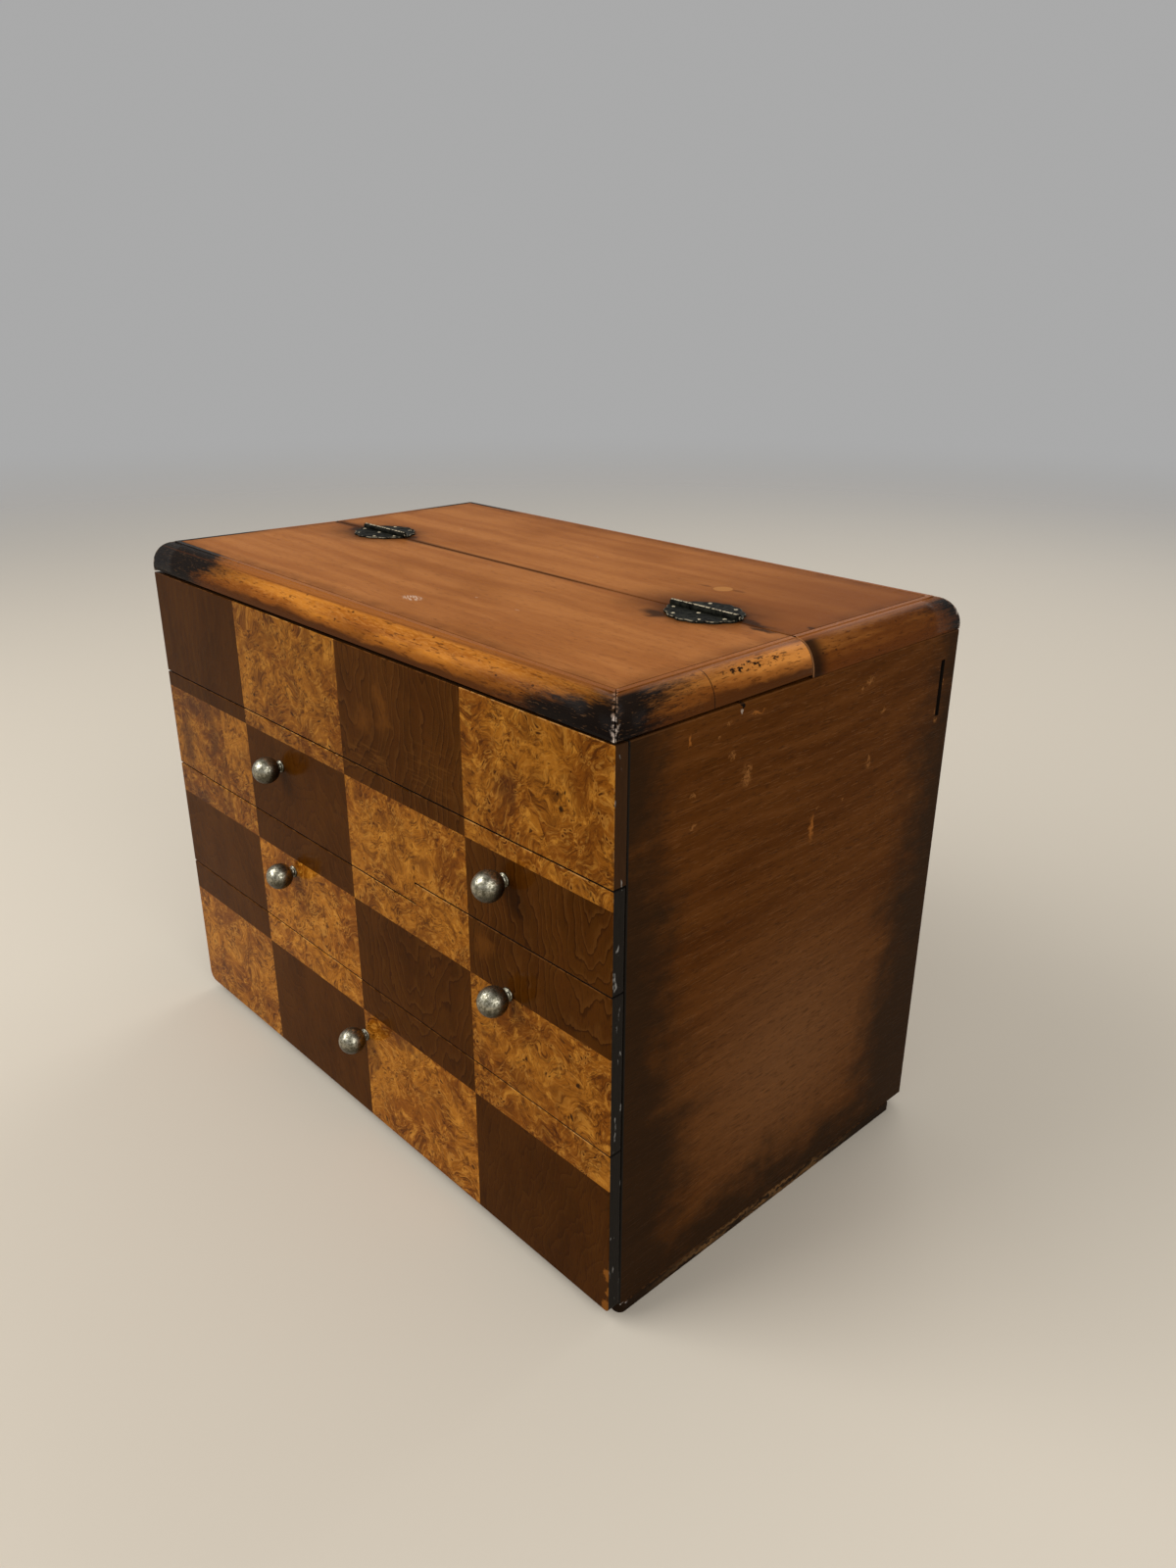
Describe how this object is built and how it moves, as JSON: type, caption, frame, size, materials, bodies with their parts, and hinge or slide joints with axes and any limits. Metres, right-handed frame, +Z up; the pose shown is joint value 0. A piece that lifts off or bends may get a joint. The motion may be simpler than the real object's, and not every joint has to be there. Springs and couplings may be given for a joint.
{
  "type": "sewing box",
  "caption": "Table-top sewing box with chequered veneer drawer fronts, ball knobs and a top compartment under a half lid on scalloped butterfly hinges.",
  "frame": {"origin": "middle of the base board's underside on the table, under the middle of the body without its knobs", "axes": "+X to the right seen from the front, along the drawer fronts; +Y towards the back; +Z up. The drawers open towards -Y"},
  "size_m": [0.32, 0.2093, 0.2519],
  "materials": {
    "front_veneer": "glossy lacquer over squares of walnut and burl veneer",
    "side_wood": "dark red-brown stain under worn gloss",
    "top_wood": "caramel stain, satin",
    "strip_wood": "golden-brown stain burnished black at the corners",
    "inner_wood": "plain, unpolished",
    "hinge_metal": "blackened, rubbed bright on its edges",
    "knob_metal": "aged nickel, mottled"
  },
  "bodies": {
    "carcass": {"base_board": "side_wood", "left_side": "side_wood", "right_side": "side_wood", "back_panel": "side_wood", "tray_floor": "inner_wood", "lower_shelf": "inner_wood", "drawer_divider": "inner_wood", "left_shelf": "inner_wood", "right_shelf": "inner_wood", "front_panel": "front_veneer", "rear_top_panel": "top_wood", "rear_strip_back": "strip_wood", "rear_strip_left": "strip_wood", "rear_strip_right": "strip_wood", "hinge_left_rear_leaf": "hinge_metal", "hinge_left_pin": "hinge_metal", "hinge_right_rear_leaf": "hinge_metal", "hinge_right_pin": "hinge_metal"},
    "lid": {"lid_panel": "top_wood", "lid_strip_front": "strip_wood", "lid_strip_left": "strip_wood", "lid_strip_right": "strip_wood", "hinge_left_lid_leaf": "hinge_metal", "hinge_right_lid_leaf": "hinge_metal"},
    "upper_left_drawer": {"upper_left_drawer_front": "front_veneer", "upper_left_drawer_left": "inner_wood", "upper_left_drawer_right": "inner_wood", "upper_left_drawer_floor": "inner_wood", "upper_left_drawer_back": "inner_wood", "upper_left_knob": "knob_metal"},
    "upper_right_drawer": {"upper_right_drawer_front": "front_veneer", "upper_right_drawer_left": "inner_wood", "upper_right_drawer_right": "inner_wood", "upper_right_drawer_floor": "inner_wood", "upper_right_drawer_back": "inner_wood", "upper_right_knob": "knob_metal"},
    "middle_left_drawer": {"middle_left_drawer_front": "front_veneer", "middle_left_drawer_left": "inner_wood", "middle_left_drawer_right": "inner_wood", "middle_left_drawer_floor": "inner_wood", "middle_left_drawer_back": "inner_wood", "middle_left_knob": "knob_metal"},
    "middle_right_drawer": {"middle_right_drawer_front": "front_veneer", "middle_right_drawer_left": "inner_wood", "middle_right_drawer_right": "inner_wood", "middle_right_drawer_floor": "inner_wood", "middle_right_drawer_back": "inner_wood", "middle_right_knob": "knob_metal"},
    "bottom_drawer": {"bottom_drawer_front": "front_veneer", "bottom_drawer_left": "inner_wood", "bottom_drawer_right": "inner_wood", "bottom_drawer_floor": "inner_wood", "bottom_drawer_back": "inner_wood", "bottom_knob": "knob_metal"}
  },
  "joints": [
    {"name": "lid_hinge", "type": "hinge", "parent": "carcass", "child": "lid", "pos_m": [0, 0, 0.2506], "axis": [-1, 0, 0], "range_deg": [0, 180]},
    {"name": "upper_left_slide", "type": "slide", "parent": "carcass", "child": "upper_left_drawer", "axis": [0, -1, 0], "range_m": [0, 0.15]},
    {"name": "upper_right_slide", "type": "slide", "parent": "carcass", "child": "upper_right_drawer", "axis": [0, -1, 0], "range_m": [0, 0.15]},
    {"name": "middle_left_slide", "type": "slide", "parent": "carcass", "child": "middle_left_drawer", "axis": [0, -1, 0], "range_m": [0, 0.15]},
    {"name": "middle_right_slide", "type": "slide", "parent": "carcass", "child": "middle_right_drawer", "axis": [0, -1, 0], "range_m": [0, 0.15]},
    {"name": "bottom_slide", "type": "slide", "parent": "carcass", "child": "bottom_drawer", "axis": [0, -1, 0], "range_m": [0, 0.15]}
  ]
}
